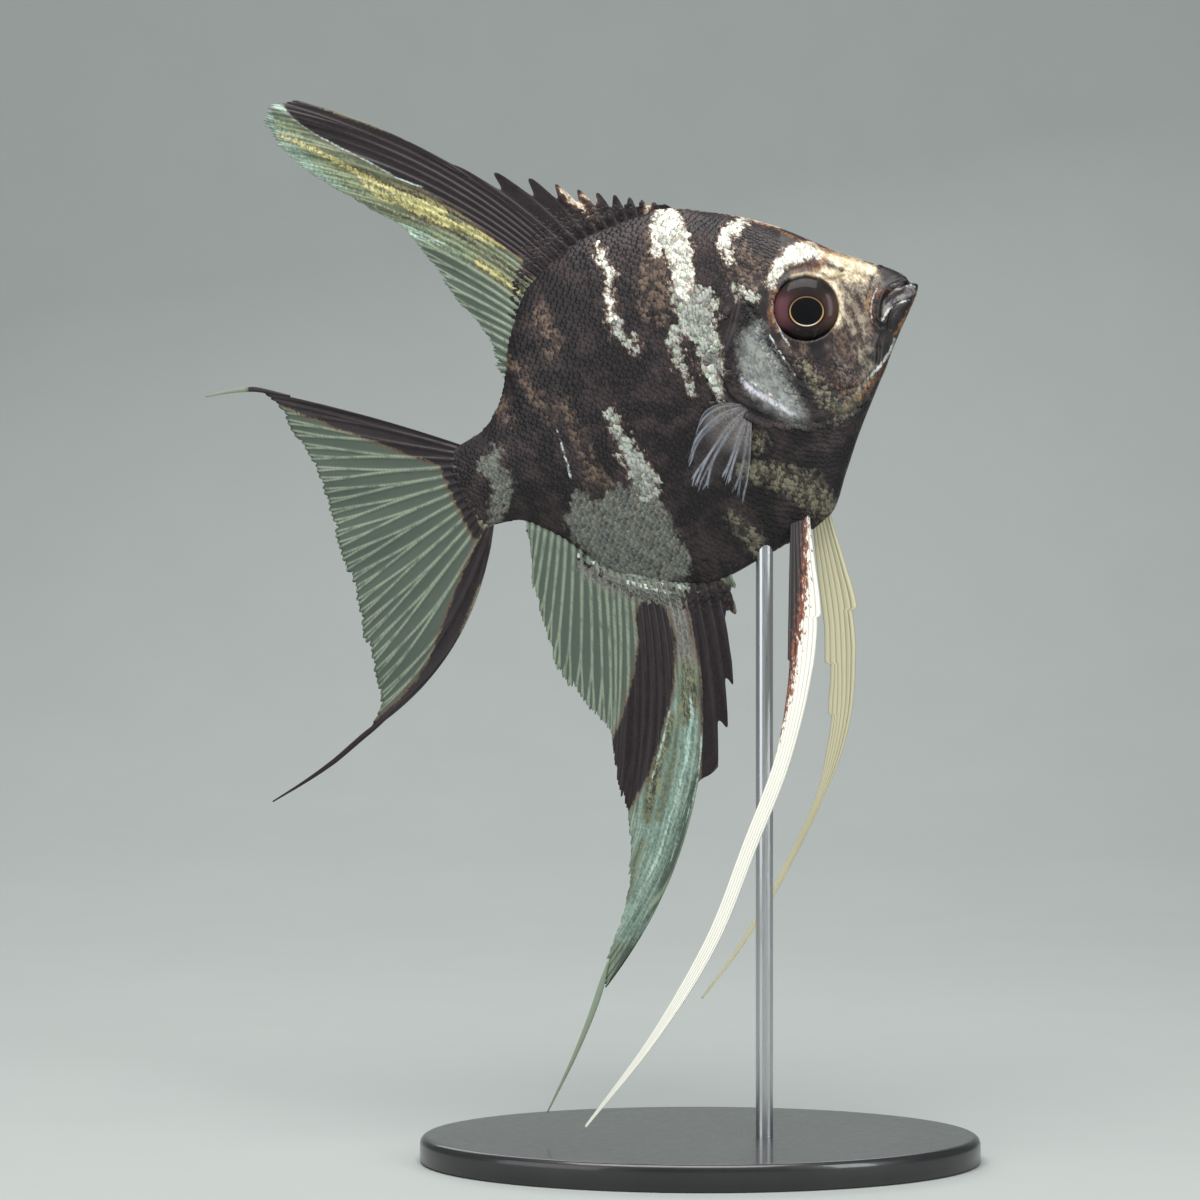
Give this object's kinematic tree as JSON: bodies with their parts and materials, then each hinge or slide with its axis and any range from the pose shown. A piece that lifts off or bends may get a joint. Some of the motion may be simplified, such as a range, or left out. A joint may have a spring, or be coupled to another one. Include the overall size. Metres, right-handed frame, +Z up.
{
  "type": "freshwater angelfish",
  "caption": "Life-size still model of a black marbled freshwater angelfish with tall swept fins and long pelvic fins, swimming nose-up on a plain stand with a single rod.",
  "frame": {"origin": "centre of the stand's underside, on the surface that it stands on", "axes": "+Z up, +X the way the snout points as seen from the fish's right side, -Y towards the viewer of its right side"},
  "size_m": [0.1179, 0.05, 0.1607],
  "materials": {
    "skin_dark": "wet scaled fish skin, near black with a brown cast and silver-white bars, satin gloss",
    "skin_silver": "silvery scaled skin with a pearly sheen",
    "lips": "bare smooth skin, dark purplish grey, satin gloss",
    "eyes": "wet clear eye, maroon iris with a thin gold ring round a black pupil",
    "fin_dark": "black fin web between stiff spines, satin",
    "fin_web": "thin clear fin web between branching rays, grey-green with black and tan streaks",
    "fin_pale": "pale cream fin rays, satin, black and red-brown along the rear edge at the root",
    "stand_plinth": "black acrylic plate, satin with an eased edge",
    "stand_steel": "brushed stainless steel rod"
  },
  "bodies": {
    "root": {"head": "skin_dark", "trunk": "skin_dark", "tail_stalk": "skin_silver", "gill_cover_left": "skin_silver", "gill_cover_right": "skin_silver", "jaw_upper": "lips", "jaw_lower": "lips", "eye_left": "eyes", "eye_right": "eyes", "fin_dorsal_spines": "fin_dark", "fin_anal_spines": "fin_dark", "fin_dorsal_soft": "fin_web", "fin_anal_soft": "fin_web", "streamer_anal": "fin_web", "fin_tail": "fin_web", "streamer_tail_upper": "fin_web", "streamer_tail_lower": "fin_web", "fin_pectoral_left": "fin_web", "fin_pectoral_right": "fin_web", "fin_pelvic_left": "fin_pale", "fin_pelvic_right": "fin_pale", "streamer_pelvic_left": "fin_pale", "streamer_pelvic_right": "fin_pale", "stand_base": "stand_plinth", "stand_rod": "stand_steel"}
  },
  "joints": []
}
